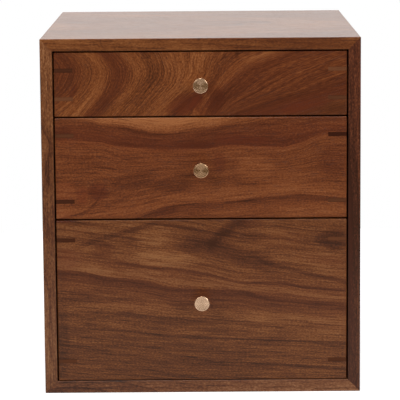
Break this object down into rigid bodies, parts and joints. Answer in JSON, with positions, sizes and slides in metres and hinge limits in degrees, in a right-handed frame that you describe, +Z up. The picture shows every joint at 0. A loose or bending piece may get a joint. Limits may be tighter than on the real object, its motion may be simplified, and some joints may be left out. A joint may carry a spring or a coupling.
{
  "type": "desktop drawer chest",
  "caption": "Small walnut box chest with a mitred case and stacked sliding drawers, each with keyed corners and a turned round knob, for craft supplies and small parts.",
  "frame": {"origin": "middle of the case's underside, where it rests on a desk", "axes": "+X to the right as the drawers are faced, +Y from the front to the rear, +Z up"},
  "size_m": [0.26, 0.3256, 0.293],
  "materials": {
    "case_walnut": "satin oil over planed and eased walnut, long grain along each board",
    "front_walnut": "satin oil over figured walnut, grain across the front",
    "drawer_walnut": "thin satin oil over plain straight-grained walnut",
    "back_walnut": "satin walnut veneer with upright grain",
    "key_wood": "dark wood planed flush with the drawer's faces",
    "maple": "waxed maple",
    "birch_panel": "matt birch plywood",
    "turned_brass": "lathe-turned and lacquered",
    "steel": "zinc-plated"
  },
  "bodies": {
    "case": {"case_top": "case_walnut", "case_bottom": "case_walnut", "case_left_side": "case_walnut", "case_right_side": "case_walnut", "case_mitre_splines": "maple", "back_panel": "back_walnut", "back_panel_screws": "steel", "top_left_runner": "maple", "top_right_runner": "maple", "middle_left_runner": "maple", "middle_right_runner": "maple", "bottom_left_runner": "maple", "bottom_right_runner": "maple", "runner_screws": "steel"},
    "top_drawer": {"top_drawer_front": "front_walnut", "top_drawer_left_side": "drawer_walnut", "top_drawer_right_side": "drawer_walnut", "top_drawer_back": "drawer_walnut", "top_drawer_bottom": "birch_panel", "top_drawer_corner_keys": "key_wood", "top_drawer_knob": "turned_brass", "top_drawer_knob_screw": "steel", "top_drawer_knob_washer": "steel"},
    "middle_drawer": {"middle_drawer_front": "front_walnut", "middle_drawer_left_side": "drawer_walnut", "middle_drawer_right_side": "drawer_walnut", "middle_drawer_back": "drawer_walnut", "middle_drawer_bottom": "birch_panel", "middle_drawer_corner_keys": "key_wood", "middle_drawer_knob": "turned_brass", "middle_drawer_knob_screw": "steel", "middle_drawer_knob_washer": "steel"},
    "bottom_drawer": {"bottom_drawer_front": "front_walnut", "bottom_drawer_left_side": "drawer_walnut", "bottom_drawer_right_side": "drawer_walnut", "bottom_drawer_back": "drawer_walnut", "bottom_drawer_bottom": "birch_panel", "bottom_drawer_corner_keys": "key_wood", "bottom_drawer_knob": "turned_brass", "bottom_drawer_knob_screw": "steel", "bottom_drawer_knob_washer": "steel"}
  },
  "joints": [
    {"name": "top_drawer_slide", "type": "slide", "parent": "case", "child": "top_drawer", "axis": [0, -1, 0], "range_m": [0, 0.23]},
    {"name": "middle_drawer_slide", "type": "slide", "parent": "case", "child": "middle_drawer", "axis": [0, -1, 0], "range_m": [0, 0.23]},
    {"name": "bottom_drawer_slide", "type": "slide", "parent": "case", "child": "bottom_drawer", "axis": [0, -1, 0], "range_m": [0, 0.23]}
  ]
}
